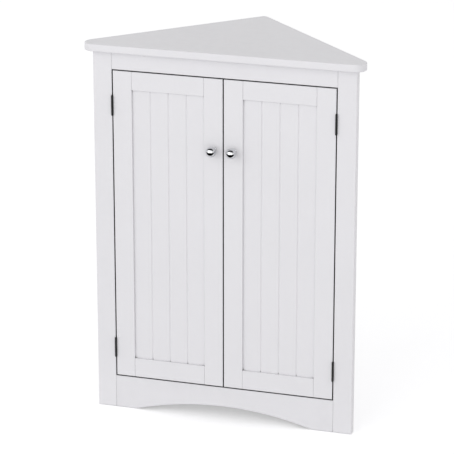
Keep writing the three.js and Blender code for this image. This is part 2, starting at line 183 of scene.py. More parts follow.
class Nodes:
    """A short way to lay out one material's nodes."""

    def __init__(self, name: str) -> None:
        """Starts an empty material with a shader and an output.

        Args:
            name: the material's name.
        """
        self.material = bpy.data.materials.new(name)
        self.material.use_nodes = True
        self.tree = self.material.node_tree
        self.tree.nodes.clear()
        self.shader = self.tree.nodes.new("ShaderNodeBsdfPrincipled")
        output = self.tree.nodes.new("ShaderNodeOutputMaterial")
        self.link(self.shader.outputs["BSDF"], output.inputs["Surface"])
        self.place = self.tree.nodes.new("ShaderNodeTexCoord").outputs["Object"]

    def link(self, source: Socket, target: Socket) -> None:
        """Joins two sockets."""
        self.tree.links.new(source, target)

    def noise(self, scale: float, detail: Detail, stretch: Place = (1.0, 1.0, 1.0)) -> Socket:
        """Adds a noise over the piece's own coordinates.

        Args:
            scale: features to a metre.
            detail: how much finer noise it has.
            stretch: how much the pattern is packed along each axis.

        Returns:
            The noise value, about 0 to 1.
        """
        mapping = self.tree.nodes.new("ShaderNodeMapping")
        mapping.inputs["Scale"].default_value = stretch
        texture = self.tree.nodes.new("ShaderNodeTexNoise")
        texture.inputs["Scale"].default_value = scale
        texture.inputs["Detail"].default_value = detail.value
        self.link(self.place, mapping.inputs["Vector"])
        self.link(mapping.outputs["Vector"], texture.inputs["Vector"])
        return texture.outputs["Fac"]

    def attribute(self, name: str) -> Socket:
        """Adds a reading of one of the piece's own attributes.

        Args:
            name: the attribute's name.

        Returns:
            Its value, or 0 on a mesh that lacks it.
        """
        node = self.tree.nodes.new("ShaderNodeAttribute")
        node.attribute_name = name
        return node.outputs["Fac"]

    def spread(
        self, value: Socket, low: float, high: float, start: float = 0.3, end: float = 0.7
    ) -> Socket:
        """Spreads values from start to end over low to high.

        Args:
            value: the socket to read.
            low: what start becomes.
            high: what end becomes.
            start: lower end of the values read.
            end: upper end of the values read.

        Returns:
            The spread value.
        """
        node = self.tree.nodes.new("ShaderNodeMapRange")
        node.inputs["From Min"].default_value = start
        node.inputs["From Max"].default_value = end
        node.inputs["To Min"].default_value = low
        node.inputs["To Max"].default_value = high
        self.link(value, node.inputs["Value"])
        return node.outputs["Result"]

    def openness(self, reach: float, samples: int = 8) -> Socket:
        """Adds a measure of how open the surface lies: 1 in the open, 0 deep in a narrow gap.

        Args:
            reach: how far off a neighbouring surface still counts, in metres.
            samples: rays tried from each point.

        Returns:
            The share of the half sphere over the surface that is free.
        """
        node = self.tree.nodes.new("ShaderNodeAmbientOcclusion")
        node.samples = samples
        node.inputs["Distance"].default_value = reach
        return node.outputs["AO"]

    def combine(self, operation: Operation, first: Socket, second: Socket) -> Socket:
        """Makes one value out of two."""
        return calculate(self.tree, operation, first, second)

    def blend(self, factor: Socket, first: Colour, second: Colour | Socket) -> Socket:
        """Blends two colours by a socket.

        Args:
            factor: 0 gives the first colour and 1 the second.
            first: a linear colour.
            second: a linear colour, or a socket that gives one.

        Returns:
            The blended colour.
        """
        node = self.tree.nodes.new("ShaderNodeMix")
        node.data_type = "RGBA"
        first_input, second_input = (socket for socket in node.inputs if socket.type == "RGBA")
        first_input.default_value = first
        if isinstance(second, Socket):
            self.link(second, second_input)
        else:
            second_input.default_value = second
        self.link(factor, node.inputs["Factor"])
        return next(socket for socket in node.outputs if socket.type == "RGBA")

    def bump(self, height: Socket, strength: float, distance: float) -> None:
        """Raises the surface by a height.

        Args:
            height: the socket to read.
            strength: share of the full effect.
            distance: how far a height of 1 stands out, in metres.
        """
        node = self.tree.nodes.new("ShaderNodeBump")
        node.inputs["Strength"].default_value = strength
        node.inputs["Distance"].default_value = distance
        self.link(height, node.inputs["Height"])
        self.link(node.outputs["Normal"], self.shader.inputs["Normal"])


@dataclass(frozen=True)
class PaintFinish:
    """Sprayed satin paint on fibreboard, polished a little where hands rub its edges; shade painted
    in crevices.

    Scales are features to a metre, depths and reaches are metres and shares run from 0 to 1.
    """

    name: str
    slot: str
    colour: Srgb
    rubbed: Srgb
    roughness: float
    grain_scale: float
    grain_depth: float
    specular: float = 0.35
    cloud_scale: float = 6.0
    cloud_share: float = 0.35
    speckle_scale: float = 60.0
    least_speckle_share: float = 0.5
    rub_scale: float = 35.0
    least_rub_share: float = 0.3
    rub_smoothing: float = 0.12
    sheen_drop: float = 0.04
    sheen_rise: float = 0.05
    coarse_grain_ratio: float = 7.0
    grain_strength: float = 0.5
    # Painted shade: near-black that the colour blends towards deep in crevices and seams.
    crevice_shade_colour: Srgb = (12, 12, 13)
    crevice_shade_reach: float = 18 * MM
    crevice_shade_open_shares: tuple[float, float] = (0.22, 0.5)

    def material(self) -> bpy.types.Material:
        """Builds the paint: cloudy tone, orange peel, greyer rubbed edges and painted shade in
        crevices.

        Returns:
            The new material.
        """
        nodes = Nodes(self.name)
        clouds = nodes.noise(self.cloud_scale, Detail.CLOUDY)
        speckle = nodes.noise(self.speckle_scale, Detail.GRAINY)
        cloud_share = nodes.spread(clouds, 0.0, self.cloud_share)
        speckle_share = nodes.spread(speckle, self.least_speckle_share, 1.0)
        tone = nodes.combine(Operation.MULTIPLY, cloud_share, speckle_share)
        patches = nodes.noise(self.rub_scale, Detail.CLOUDY)
        patch_share = nodes.spread(patches, self.least_rub_share, 1.0)
        rub = nodes.combine(Operation.MULTIPLY, nodes.attribute("rubbed"), patch_share)
        greyed = nodes.combine(Operation.MAXIMUM, tone, rub)
        paint = nodes.blend(greyed, linear(self.colour), linear(self.rubbed))
        # Painted shade: the paint colour darkens towards near-black where little of the half sphere
        # is open.
        free = nodes.spread(nodes.openness(self.crevice_shade_reach), 0.0, 1.0, *self.crevice_shade_open_shares)
        paint_and_painted_shade = nodes.blend(free, linear(self.crevice_shade_colour), paint)
        nodes.link(paint_and_painted_shade, nodes.shader.inputs["Base Color"])
        dullest, glossiest = self.roughness + self.sheen_rise, self.roughness - self.sheen_drop
        sheen = nodes.spread(speckle, glossiest, dullest)
        smoothing = nodes.spread(rub, 0.0, self.rub_smoothing, start=0.0, end=1.0)
        rough = nodes.combine(Operation.SUBTRACT, sheen, smoothing)
        nodes.link(rough, nodes.shader.inputs["Roughness"])
        nodes.shader.inputs["Specular IOR Level"].default_value = self.specular
        fine_grain = nodes.noise(self.grain_scale, Detail.PLAIN)
        coarse_grain = nodes.noise(self.grain_scale / self.coarse_grain_ratio, Detail.SMOOTH)
        peel = nodes.combine(Operation.ADD, fine_grain, coarse_grain)
        nodes.bump(peel, self.grain_strength, self.grain_depth)
        return nodes.material


@dataclass(frozen=True)
class MetalFinish:
    """A metal or a dark coated metal, with fine scratches that run along one axis.

    Scales are features to a metre and depths are metres. The scratches run along the axes on
    which their stretch is small.
    """

    name: str
    slot: str
    colour: Srgb
    worn: Srgb
    metallic: float
    roughness: float
    roughness_spread: float
    scratch_scale: float
    scratch_stretch: Place
    scratch_depth: float
    scratch_strength: float = 0.15
    patch_scale: float = 140.0
    least_roughness: float = 0.02

    def material(self) -> bpy.types.Material:
        """Builds the metal: a tone that shifts in patches over fine directional scratches.

        Returns:
            The new material.
        """
        nodes = Nodes(self.name)
        patches = nodes.noise(self.patch_scale, Detail.CLOUDY)
        scratches = nodes.noise(self.scratch_scale, Detail.GRAINY, self.scratch_stretch)
        patch_share = nodes.spread(patches, 0.0, 1.0)
        tone = nodes.blend(patch_share, linear(self.colour), linear(self.worn))
        nodes.link(tone, nodes.shader.inputs["Base Color"])
        nodes.shader.inputs["Metallic"].default_value = self.metallic
        low = max(self.least_roughness, self.roughness - self.roughness_spread)
        rough = nodes.spread(scratches, low, self.roughness + self.roughness_spread)
        nodes.link(rough, nodes.shader.inputs["Roughness"])
        nodes.bump(scratches, self.scratch_strength, self.scratch_depth)
        return nodes.material


Finish = PaintFinish | MetalFinish

SATIN_PAINT = PaintFinish(
    name="satin_white_paint",
    slot="white_paint",
    colour=(229, 228, 231),
    rubbed=(221, 220, 223),
    roughness=0.4,
    grain_scale=700.0,
    grain_depth=0.1 * MM,
)
MELAMINE = PaintFinish(
    name="white_melamine",
    slot="white_inside_board",
    colour=(226, 225, 228),
    rubbed=(218, 217, 219),
    roughness=0.5,
    grain_scale=1500.0,
    grain_depth=0.08 * MM,
    specular=0.3,
)
CATCH_PLASTIC = PaintFinish(
    name="white_plastic",
    slot="white_plastic",
    colour=(224, 222, 217),
    rubbed=(214, 212, 206),
    roughness=0.4,
    grain_scale=2500.0,
    grain_depth=0.04 * MM,
    specular=0.45,
)
CHROME = MetalFinish(
    name="polished_chrome",
    slot="chrome",
    colour=(214, 215, 217),
    worn=(206, 207, 210),
    metallic=1.0,
    roughness=0.05,
    roughness_spread=0.02,
    scratch_scale=900.0,
    scratch_stretch=(1.0, 0.2, 1.0),
    scratch_depth=0.01 * MM,
)
BLACK_STEEL = MetalFinish(
    name="black_coated_steel",
    slot="black_steel",
    colour=(13, 13, 14),
    worn=(24, 24, 25),
    metallic=0.0,
    roughness=0.45,
    roughness_spread=0.08,
    scratch_scale=1800.0,
    scratch_stretch=(1.0, 1.0, 0.2),
    scratch_depth=0.03 * MM,
)
ZINC = MetalFinish(
    name="zinc_plate",
    slot="zinc_steel",
    colour=(202, 204, 206),
    worn=(190, 193, 197),
    metallic=0.85,
    roughness=0.38,
    roughness_spread=0.05,
    scratch_scale=1800.0,
    scratch_stretch=(1.0, 0.3, 0.3),
    scratch_depth=0.004 * MM,
)


def rounded_outline(corners: Points, radii: Sequence[float], steps: int = 4) -> Outline:
    """Rounds the corners of a closed outline with arcs.

    At a corner with unit edge directions a (in) and b (out) and turn t, the arc of radius r
    starts r tan(t / 2) before the corner, and its points go round from the normal of a to
    the normal of b about the arc's centre.

    Args:
        corners: the outline's corners, in order.
        radii: one radius for each corner, where 0 leaves it sharp.
        steps: segments in each arc.

    Returns:
        The points as an array of rows (u, v), counter-clockwise, and for each point how far
        it is into its arc, 1 in the middle and 0 at the ends.
    """
    places = np.array(corners, float)
    rounds = np.array(radii, float)
    following = np.roll(places, -1, axis=0)
    area = np.sum(places[:, 0] * following[:, 1] - following[:, 0] * places[:, 1])
    if area < 0:
        places, rounds = places[::-1], rounds[::-1]
    edge_in = places - np.roll(places, 1, axis=0)
    edge_in /= np.linalg.norm(edge_in, axis=1, keepdims=True)
    edge_out = np.roll(edge_in, -1, axis=0)
    cross = edge_in[:, 0] * edge_out[:, 1] - edge_in[:, 1] * edge_out[:, 0]
    turn = np.arctan2(cross, np.sum(edge_in * edge_out, axis=1))
    points, middles = [], []
    share = np.linspace(0.0, 1.0, steps + 1)
    for place, radius, a, t in zip(places, rounds, edge_in, turn):
        if radius <= 0.0 or abs(t) < TINY:
            points.append(place[None, :])
            middles.append(np.zeros(1))
            continue
        normal = np.array([-a[1], a[0]]) * math.copysign(1.0, t)
        centre = place - a * radius * math.tan(abs(t) / 2) + normal * radius
        angle = np.arctan2(-normal[1], -normal[0]) + share * t
        points.append(centre + radius * np.stack([np.cos(angle), np.sin(angle)], axis=1))
        middles.append(np.sin(share * math.pi))
    return np.concatenate(points), np.concatenate(middles)


def carried_board(
    outline: Outline, low: float, high: float, ease: float, axis: Axis, steps: int = 4
) -> Surface:
    """Carries an outline along an axis and eases the edges of its two end faces.

    Each ring of the surface is the outline moved inward along its mitred normals by
    ease (1 - sin s) at ease (1 - cos s) from the end face, with s from 0 to a quarter turn.

    Args:
        outline: points and their arc shares, as rounded_outline returns them.
        low: where the board starts along the axis.
        high: where it ends.
        ease: radius of the eased edge.
        axis: the axis that the outline is carried along.
        steps: rings in each eased edge.

    Returns:
        The vertices, the faces and for each vertex how far it is into an eased edge.
    """
    points, arcs = outline
    forward = np.roll(points, -1, axis=0) - points
    forward /= np.linalg.norm(forward, axis=1, keepdims=True)
    inward = np.stack([-forward[:, 1], forward[:, 0]], axis=1)
    before = np.roll(inward, 1, axis=0)
    mitre = (inward + before) / (1.0 + np.sum(inward * before, axis=1, keepdims=True))
    angle = np.linspace(0.0, math.pi / 2, steps + 1)
    inset = ease * (1.0 - np.sin(angle))
    rise = ease * (1.0 - np.cos(angle))
    insets = np.concatenate([inset, inset[::-1]])
    along = np.concatenate([low + rise, (high - rise)[::-1]])
    ring_wear = np.concatenate([np.sin(2 * angle), np.sin(2 * angle)[::-1]])
    rings = points[None, :, :] + insets[:, None, None] * mitre[None, :, :]
    grid = np.empty((len(insets), len(points), 3))
    u_place, v_place, along_place = axis.value
    grid[:, :, u_place] = rings[:, :, 0]
    grid[:, :, v_place] = rings[:, :, 1]
    grid[:, :, along_place] = along[:, None]
    wear = np.maximum(ring_wear[:, None], arcs[None, :])
    count, ring_count = len(points), len(insets)
    here = np.arange(count)
    there = np.roll(here, -1)
    base = np.arange(ring_count - 1)[:, None] * count
    above = base + count
    quads = np.stack([base + here, base + there, above + there, above + here], axis=-1)
    faces = [tuple(quad) for quad in quads.reshape(-1, 4).tolist()]
    faces.append(tuple(here[::-1].tolist()))
    faces.append(tuple((here + (ring_count - 1) * count).tolist()))
    if axis is Axis.Y:
        faces = [face[::-1] for face in faces]
    return grid.reshape(-1, 3), faces, wear.reshape(-1)


def turned_surface(profile: np.ndarray, origin: Vector, along: Vector, sides: int) -> Surface:
    """Turns a profile of (radius, distance) rows round an axis.

    The surface is origin + distance * along + radius * (cos v * p + sin v * q), where p and
    q are square to the axis. Ends that lie on the axis are closed with one point each, and a
    profile that starts off the axis closes on its own start.

    Args:
        profile: rows of radius and distance along the axis.
        origin: where distance 0 lies.
        along: the axis as a unit vector.
        sides: points in a full turn.

    Returns:
        The vertices, the faces and a wear value of 0 for each vertex.
    """
    axis = np.array(along)
    across = np.cross(axis, (0.0, 0.0, 1.0) if abs(axis[2]) < NEARLY_UPRIGHT else (1.0, 0.0, 0.0))
    across /= np.linalg.norm(across)
    third = np.cross(axis, across)
    capped = profile[0, 0] < TINY
    body = profile[1:-1] if capped else profile
    angle = np.arange(sides) * 2 * math.pi / sides
    circle = np.cos(angle)[:, None] * across + np.sin(angle)[:, None] * third
    grid = np.array(origin) + body[:, 1, None, None] * axis + body[:, 0, None, None] * circle
    vertices = grid.reshape(-1, 3)
    here = np.arange(sides)
    there = np.roll(here, -1)
    rows = len(body) - 1 if capped else len(body)
    base = np.arange(rows)[:, None] * sides
    above = (base + sides) % (len(body) * sides)
    quads = np.stack([base + here, base + there, above + there, above + here], axis=-1)
    faces = [tuple(quad) for quad in quads.reshape(-1, 4).tolist()]
    if capped:
        ends = np.array(origin) + profile[[0, -1], 1, None] * axis
        vertices = np.concatenate([vertices, ends])
        first, last = len(vertices) - 2, len(vertices) - 1
        top = (len(body) - 1) * sides
        faces += [(first, b, a) for a, b in zip(here.tolist(), there.tolist())]
        faces += [(last, top + a, top + b) for a, b in zip(here.tolist(), there.tolist())]
    return vertices, faces, np.zeros(len(vertices))


def span(node: str) -> tuple[np.ndarray, np.ndarray]:
    """Gives a solid node's lowest and highest corner as arrays."""
    low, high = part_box(node)
    return np.array(low), np.array(high)


def middle_at(node: str, depth: float) -> Vector:
    """Gives the point in line with a solid node's middle, as seen from the front.

    Args:
        node: the node's name.
        depth: the y that the point has.

    Returns:
        The point at half the node's width and height, and at that depth.
    """
    low, high = span(node)
    return Vector(((low[0] + high[0]) / 2, depth, (low[2] + high[2]) / 2))


def block(low: np.ndarray, high: np.ndarray, ease: float, axis: Axis) -> Surface:
    """Makes a board with all its edges eased, carried along its length.

    Args:
        low: lowest corner.
        high: highest corner.
        ease: radius of every edge.
        axis: the board's length.

    Returns:
        The board's surface.
    """
    u_place, v_place, along = axis.value
    corners = [
        (low[u_place], low[v_place]),
        (high[u_place], low[v_place]),
        (high[u_place], high[v_place]),
        (low[u_place], high[v_place]),
    ]
    return carried_board(rounded_outline(corners, [ease] * 4), low[along], high[along], ease, axis)


@dataclass
class Workshop:
    """Turns surfaces into pieces of the cupboard and dresses them."""

    materials: dict[str, bpy.types.Material] = field(default_factory=dict)

    def material(self, finish: Finish) -> bpy.types.Material:
        """Builds a finish's material the first time that it is asked for.

        Args:
            finish: the finish wanted.

        Returns:
            Its material.
        """
        if finish.name not in self.materials:
            self.materials[finish.name] = finish.material()
        return self.materials[finish.name]

    def piece(
        self,
        name: str,
        surfaces: Sequence[Surface],
        finish: Finish,
        body: str,
        stands_for: Sequence[str],
    ) -> None:
        """Makes one piece out of one or more surfaces.

        Args:
            name: the piece's name.
            surfaces: vertices, faces and wear of each surface in it.
            finish: what it is finished in.
            body: the moving body that it rides on.
            stands_for: solid nodes that it takes the place of, or none.
        """
        vertices = np.concatenate([surface[0] for surface in surfaces])
        starts = np.cumsum([0, *[len(surface[0]) for surface in surfaces]])
        faces = [
            tuple(index + start for index in face)
            for start, surface in zip(starts.tolist(), surfaces)
            for face in surface[1]
        ]
        mesh = bpy.data.meshes.new(name)
        mesh.from_pydata(vertices.tolist(), [], faces)
        mesh.validate()
        rubbed = mesh.attributes.new("rubbed", "FLOAT", "POINT")
        rubbed.data.foreach_set("value", np.concatenate([surface[2] for surface in surfaces]))
        mesh.shade_smooth()
        mesh.set_sharp_from_angle(angle=SHARP_ANGLE)
        piece = bpy.data.objects.new(name, mesh)
        bpy.context.scene.collection.objects.link(piece)
        piece.data.materials.append(self.material(finish))
        normals = piece.modifiers.new("flat faces stay flat", "WEIGHTED_NORMAL")
        normals.keep_sharp = True
        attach(piece, body)
        if stands_for:
            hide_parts(*stands_for)
        LOG.info("%s: %d faces, rides on %s", name, len(faces), body)

    def dress(self, nodes: Sequence[str], finish: Finish) -> None:
        """Gives solid nodes that stay in view their finish.

        Args:
            nodes: the nodes' names.
            finish: what they are finished in.
        """
        for node in nodes:
            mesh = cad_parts[node].data
            mesh.materials.clear()
            mesh.materials.append(self.material(finish))
            LOG.info("%s: keeps its solid, in %s", node, finish.name)


@dataclass(frozen=True)
class Screw:
    """A screw with a cross recess, turned about its own axis.

    Distances along the axis count from the face that the head sits on, so the head stands
    on the negative side and the shank on the positive one.
    """

    head_radius: float
    crown: float
    rim_height: float
    edge: float
    seat_depth: float
    shank_radius: float
    length: float
    tip: float
    recess_depth: float
    recess_reach_share: float = 0.62
    recess_width_share: float = 0.15
    recess_wall_widths: float = 1.6
    head_rows: int = 12
    rim_rows: int = 4
    sides: int = 64

    def profile(self) -> np.ndarray:
        """Gives the profile as rows of radius and distance, from the head to the tip.

        The head's face is a crown that falls with the square of the radius, and a quarter
        circle rounds it into the rim.

        Returns:
            The profile's rows.
        """
        flat = self.head_radius - self.edge
        top = self.rim_height + self.edge
        radius = np.linspace(0.0, flat, self.head_rows + 1)
        face = -(top + self.crown * (1 - (radius / flat) ** 2))
        angle = np.linspace(0.0, math.pi / 2, self.rim_rows + 1)[1:]
        rim_radius = flat + self.edge * np.sin(angle)
        rim = -(self.rim_height + self.edge * np.cos(angle))
        side_and_shank = [
            (self.head_radius, 0.0),
            (self.shank_radius, self.seat_depth),
            (self.shank_radius, self.length - self.tip),
            (0.0, self.length),
        ]
        head = [np.stack([radius, face], axis=1), np.stack([rim_radius, rim], axis=1)]
        return np.concatenate([*head, side_and_shank])

    def surface(self, seat: Vector, into: Vector) -> Surface:
        """Turns the profile and sinks the cross into the head.

        A point of the head sinks by the recess's depth times two shares. The first is 1 near
        the middle line of the nearer arm and falls to 0 at the arm's wall, which stands
        recess_wall_widths from that line. The second is 1 near the axis and falls to 0 at the
        arms' reach. Both fall over one width.

        Args:
            seat: where the axis meets the face that the head sits on.
            into: the way that the screw is driven, as a unit vector.

        Returns:
            The screw's surface.
        """
        vertices, faces, wear = turned_surface(self.profile(), seat, into, self.sides)
        count = self.head_rows * self.sides
        top = np.concatenate([vertices[:count], vertices[-2:-1]]) - np.array(seat)
        upright = np.array(UPWARD)
        level = np.cross(np.array(into), upright)
        rise, run = np.abs(top @ upright), np.abs(top @ level)
        width = self.head_radius * self.recess_width_share
        reach = self.head_radius * self.recess_reach_share
        arm = np.clip(self.recess_wall_widths - np.minimum(rise, run) / width, 0.0, 1.0)
        end = np.clip((reach - np.hypot(rise, run)) / width, 0.0, 1.0)
        sunk = (self.recess_depth * arm * end)[:, None] * np.array(into)
        vertices[:count] += sunk[:-1]
        vertices[-2] += sunk[-1]
        return vertices, faces, wear

    def drive(
        self, shop: Workshop, node: str, seat: Vector, into: Vector, finish: MetalFinish, body: str
    ) -> None:
        """Makes one screw in the place of its solid.

        Args:
            shop: where it is made.
            node: the solid node that it takes the place of.
            seat: where its axis meets the face that its head sits on.
            into: the way that it is driven.
            finish: what it is finished in.
            body: the moving body that it rides on.
        """
        shop.piece(f"{node}_driven", [self.surface(seat, into)], finish, body, [node])


COUNTERSUNK = Screw(
    head_radius=2.3 * MM,
    crown=0.04 * MM,
    rim_height=0.03 * MM,
    edge=0.05 * MM,
    seat_depth=1.0 * MM,
    shank_radius=1.1 * MM,
    length=13 * MM,
    tip=3 * MM,
    recess_depth=0.7 * MM,
)
PAN_HEAD = Screw(
    head_radius=4 * MM,
    crown=0.4 * MM,
    rim_height=1.2 * MM,
    edge=0.8 * MM,
    seat_depth=0.0,
    shank_radius=2 * MM,
    length=26 * MM,
    tip=0.5 * MM,
    recess_depth=1.3 * MM,
)


@dataclass
class Carcass:
    """Top board, face frame, side panels, shelves and their pins."""

    shop: Workshop
    body: str = CARCASS
    top_front_radius: float = 22 * MM
    top_back_radius: float = 10 * MM
    top_corner_steps: int = 14
    top_ease: float = 2.0 * MM
    board_ease: float = 0.95 * MM
    shelf_ease: float = 0.8 * MM
    arch_foot: float = 45.9 * MM
    arch_rise: float = 28.5 * MM
    arch_steps: int = 48

    def top_board(self) -> None:
        """Carries the three-cornered plan up through the board's thickness.

        The plan's sharp back corner lies radius * (sqrt(2) - 1) behind its rounded end, and
        its front corners lie as far to each side as it lies back, because it is a right angle.
        """
        low, high = span("top_board")
        front = low[1]
        corner = high[1] + self.top_back_radius * (DIAGONAL - 1)
        reach = corner - front
        points, arcs = rounded_outline(
            [(-reach, front), (reach, front), (0.0, corner)],
            [self.top_front_radius, self.top_front_radius, self.top_back_radius],
            self.top_corner_steps,
        )
        unrubbed = (points, np.zeros_like(arcs))
        surface = carried_board(unrubbed, low[2], high[2], self.top_ease, Axis.Z)
        self.shop.piece("top_board_eased", [surface], SATIN_PAINT, self.body, ["top_board"])

    def face_frame(self) -> None:
        """Makes the posts and the top rail as eased boards."""
        for node, axis in (("left_post", Axis.Z), ("right_post", Axis.Z), ("top_rail", Axis.X)):
            surface = block(*span(node), self.board_ease, axis)
            self.shop.piece(f"{node}_eased", [surface], SATIN_PAINT, self.body, [node])

    def apron(self) -> None:
        """Carries the arched outline through the apron's thickness.

        The arch is z = rise - R + sqrt(R^2 - x^2), where R = (half^2 + rise^2) / (2 rise).
        """
        low, high = span("apron")
        half = high[0] - self.arch_foot
        radius = (half**2 + self.arch_rise**2) / (2 * self.arch_rise)
        across = np.linspace(-half, half, self.arch_steps + 1)
        arch = low[2] + self.arch_rise - radius + np.sqrt(radius**2 - across**2)
        corners = [(low[0], low[2]), *zip(across.tolist(), arch.tolist()), (high[0], low[2])]
        corners += [(high[0], high[2]), (low[0], high[2])]
        radii = [self.board_ease, *[0.0] * len(arch), *[self.board_ease] * 3]
        outline = rounded_outline(corners, radii)
        surface = carried_board(outline, low[1], high[1], self.board_ease, Axis.Y)
        self.shop.piece("apron_eased", [surface], SATIN_PAINT, self.body, ["apron"])

    def corner_board(self, node: str, body: str) -> None:
        """Makes one three-cornered board of the inside.

        Args:
            node: the solid node that it takes the place of.
            body: the moving body that it rides on.
        """
        low, high = span(node)
        corners = [(low[0], low[1]), (high[0], low[1]), (0.0, high[1])]
        outline = rounded_outline(corners, [0.0, 0.0, 0.0])
        surface = carried_board(outline, low[2], high[2], self.shelf_ease, Axis.Z)
        self.shop.piece(f"{node}_eased", [surface], MELAMINE, body, [node])

    def build(self) -> None:
        """Makes and dresses everything that the carcass holds."""
        self.top_board()
        self.face_frame()
        self.apron()
        self.corner_board("bottom_board", self.body)
        self.corner_board("fixed_shelf", self.body)
        self.corner_board("adjustable_shelf", "adjustable_shelf")
        self.shop.dress([f"{side.value}_side_panel" for side in Side], SATIN_PAINT)
        pins = [f"{side.value}_{end}_shelf_pin" for side in Side for end in ("front", "back")]
        self.shop.dress(pins, ZINC)


@dataclass
class Door:
    """One framed door with a boarded panel, its knob and its strike plate."""

    shop: Workshop
    side: Side
    ease: float = 0.95 * MM
    fine_ease: float = 0.2375 * MM
    fine_ease_steps: int = 2
    slot_depth: float = 7.8 * MM
    slot_spare: float = 0.3 * MM
    board_count: int = 4
    groove_width: float = 3.0 * MM
    groove_depth: float = 1.5 * MM
    groove_steps: int = 3
    knob_radius: float = 11 * MM
    knob_base_radius: float = 6.5 * MM
    knob_neck_radius: float = 4.2 * MM
    knob_base_height: float = 1.4 * MM
    knob_base_rounding: float = 0.475 * MM
    knob_base_side_share: float = 0.8
    knob_base_turn_share: float = 0.94
    knob_bore_radius: float = 2.3 * MM
    knob_bore_depth: float = 9 * MM
    knob_waist_rows: int = 7
    knob_ball_rows: int = 48
    knob_sides: int = 96
    plate_ease: float = 0.3 * MM

    @property
    def body(self) -> str:
        """The moving body of this door, which also starts the names of its wooden nodes."""
        return f"{self.side.value}_door"

    def node(self, member: Member) -> str:
        """The solid node of one member of the door's frame."""
        return f"{self.body}_{member.value}"

    def slot_walls(self) -> tuple[float, float]:
        """Gives the front and back of the slots that the panel stands in."""
        low, high = span(f"{self.body}_panel")
        return low[1] - self.slot_spare, high[1] + self.slot_spare

    def slot_opens_high(self, member: Member) -> bool:
        """Tells which edge of a member has the panel's slot.

        Args:
            member: the member asked about.

        Returns:
            True for the upper or right edge, and False for the lower or left one.
        """
        if member.axis is Axis.X:
            return member is Member.BOTTOM_RAIL
        return (member is Member.MEETING_STILE) == (self.side is Side.RIGHT)

    def rail_ends(self) -> tuple[float, float]:
        """Gives where the rails start and end, between the two stiles.

        Returns:
            The lower and the higher x.
        """
        hinge_low, hinge_high = span(self.node(Member.HINGE_STILE))
        meeting_low, meeting_high = span(self.node(Member.MEETING_STILE))
        if self.side is Side.RIGHT:
            return meeting_high[0], hinge_low[0]
        return hinge_high[0], meeting_low[0]

    def tenons(self, rail: Member) -> list[Surface]:
        """Makes the two stub tenons that fill the stiles' slots beside a rail.

        Args:
            rail: the rail that they belong to.

        Returns:
            The two tenons.
        """
        low, high = span(self.node(rail))
        panel_low, panel_high = span(f"{self.body}_panel")
        shoulder = self.slot_depth + self.slot_spare
        opens_high = self.slot_opens_high(rail)
        bottom = low[2] if opens_high else low[2] + shoulder
        top = high[2] - shoulder if opens_high else high[2]
        start, end = self.rail_ends()
        surfaces = []
        for x_low, x_high in ((low[0], start + self.ease), (end - self.ease, high[0])):
            corner_low = np.array([x_low, panel_low[1], bottom])
            corner_high = np.array([x_high, panel_high[1], top])
            surfaces.append(block(corner_low, corner_high, self.fine_ease, Axis.X))
        return surfaces

    def grooved_bar(self, member: Member) -> None:
        """Makes a stile or a rail: a section with the panel's slot, carried along its length.

        The slot runs in from the edge beside the panel towards the outer one.

        Args:
            member: the member to make.
        """
        node = self.node(member)
        low, high = span(node)
        u_place, v_place, _ = member.axis.value
        across = u_place if member.axis is Axis.Z else v_place
        edges = (high[across], low[across])
        edge, outer = edges if self.slot_opens_high(member) else edges[::-1]
        floor = edge + math.copysign(self.slot_depth, outer - edge)
        front, back = low[1], high[1]
        slot_front, slot_back = self.slot_walls()
        section = [
            (outer, front), (edge, front), (edge, slot_front), (floor, slot_front),
            (floor, slot_back), (edge, slot_back), (edge, back), (outer, back),
        ]
        radii = [self.ease, self.ease, 0.0, 0.0, 0.0, 0.0, self.ease, self.ease]
        ends = (low[2], high[2])
        tenons: list[Surface] = []
        if member.axis is Axis.X:
            section = [(depth, width) for width, depth in section]
            ends = self.rail_ends()
            tenons = self.tenons(member)
        bar = carried_board(rounded_outline(section, radii), *ends, self.ease, member.axis)
        self.shop.piece(f"{node}_eased", [bar, *tenons], SATIN_PAINT, self.body, [node])

    def panel(self) -> None:
        """Carries the panel's plan, with a rounded V between each two boards, up the door."""
        node = f"{self.body}_panel"
        low, high = span(node)
        start, end = self.rail_ends()
        joints = start + (end - start) * np.arange(1, self.board_count) / self.board_count
        half = self.groove_width / 2
        front, valley = low[1], low[1] + self.groove_depth
        corners = [(low[0], front)]
        radii = [0.0]
        for joint in joints.tolist():
            corners += [(joint - half, front), (joint, valley), (joint + half, front)]
            radii += [self.ease, self.fine_ease, self.ease]
        corners += [(high[0], front), (high[0], high[1]), (low[0], high[1])]
        radii += [0.0, 0.0, 0.0]
        outline = rounded_outline(corners, radii, self.groove_steps)
        ends = (low[2], high[2])
        surface = carried_board(outline, *ends, self.fine_ease, Axis.Z, self.fine_ease_steps)
        self.shop.piece(f"{node}_boarded", [surface], SATIN_PAINT, self.body, [node])

